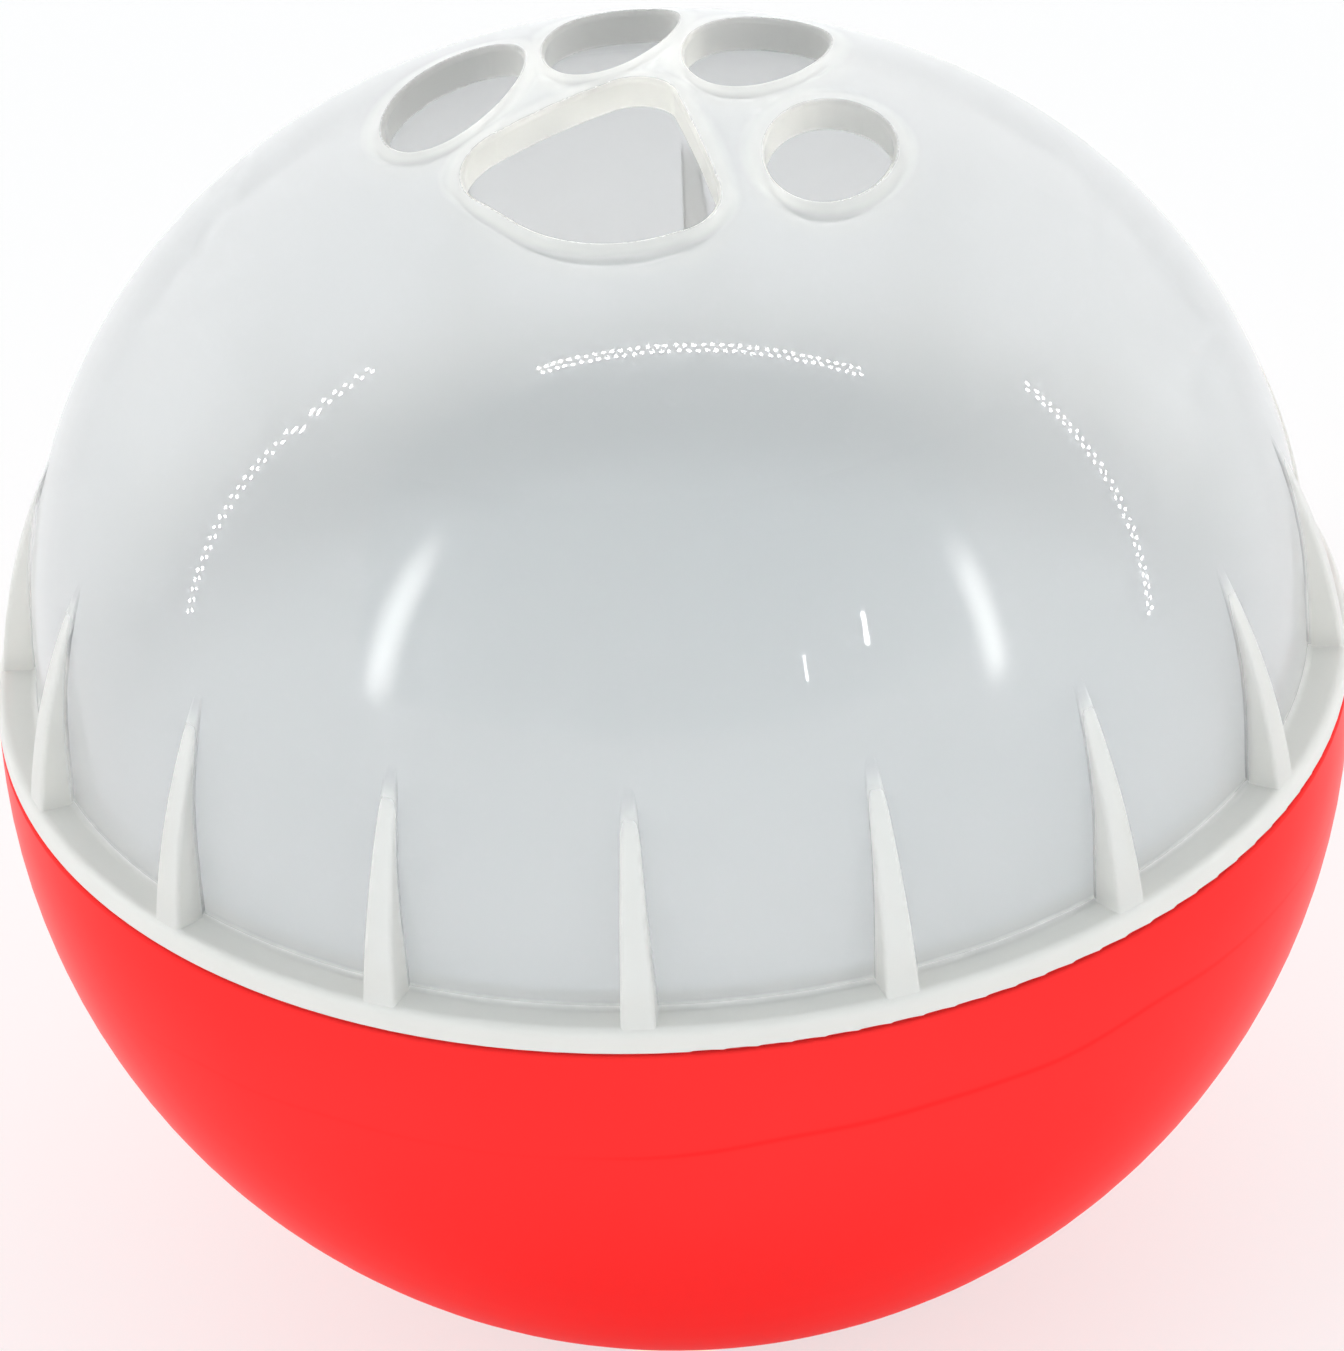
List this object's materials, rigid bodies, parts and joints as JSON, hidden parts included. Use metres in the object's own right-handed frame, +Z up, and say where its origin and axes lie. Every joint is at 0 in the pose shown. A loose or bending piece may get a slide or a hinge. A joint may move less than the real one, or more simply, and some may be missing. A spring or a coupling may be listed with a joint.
{
  "type": "cat treat ball",
  "caption": "Treat ball for cats: red weighted bowl and clear finned dome that screw together over a loose treat tray; treats fall out through paw-print holes in the crown.",
  "frame": {"origin": "centre of the flat foot that the ball stands on", "axes": "+Z up the ball's axis through the paw print, -Y towards the picture's viewer, +X to the viewer's right"},
  "size_m": [0.07, 0.07, 0.0678],
  "materials": {
    "clear_plastic": "clear, slightly milky, glossy",
    "red_plastic": "smooth glossy",
    "pale_plastic": "satin",
    "weight_steel": "turned, zinc plated",
    "screw_steel": "zinc plated"
  },
  "bodies": {
    "base": {"bowl": "red_plastic", "weight": "weight_steel", "weight_screws": "screw_steel"},
    "tray": {"treat_tray": "pale_plastic"},
    "dome": {"dome": "clear_plastic"}
  },
  "joints": [
    {"name": "dome_turn", "type": "hinge", "parent": "base", "child": "tray", "pos_m": [0, 0, 0.0337], "axis": [0, 0, 1], "range_deg": [0, 180]},
    {"name": "dome_rise", "type": "slide", "parent": "tray", "child": "dome", "axis": [0, 0, 1], "range_m": [0, 0.006]}
  ],
  "couplings": [
    {"joint": "dome_rise", "follows": "dome_turn", "m_per_rad": 0.0019099}
  ]
}
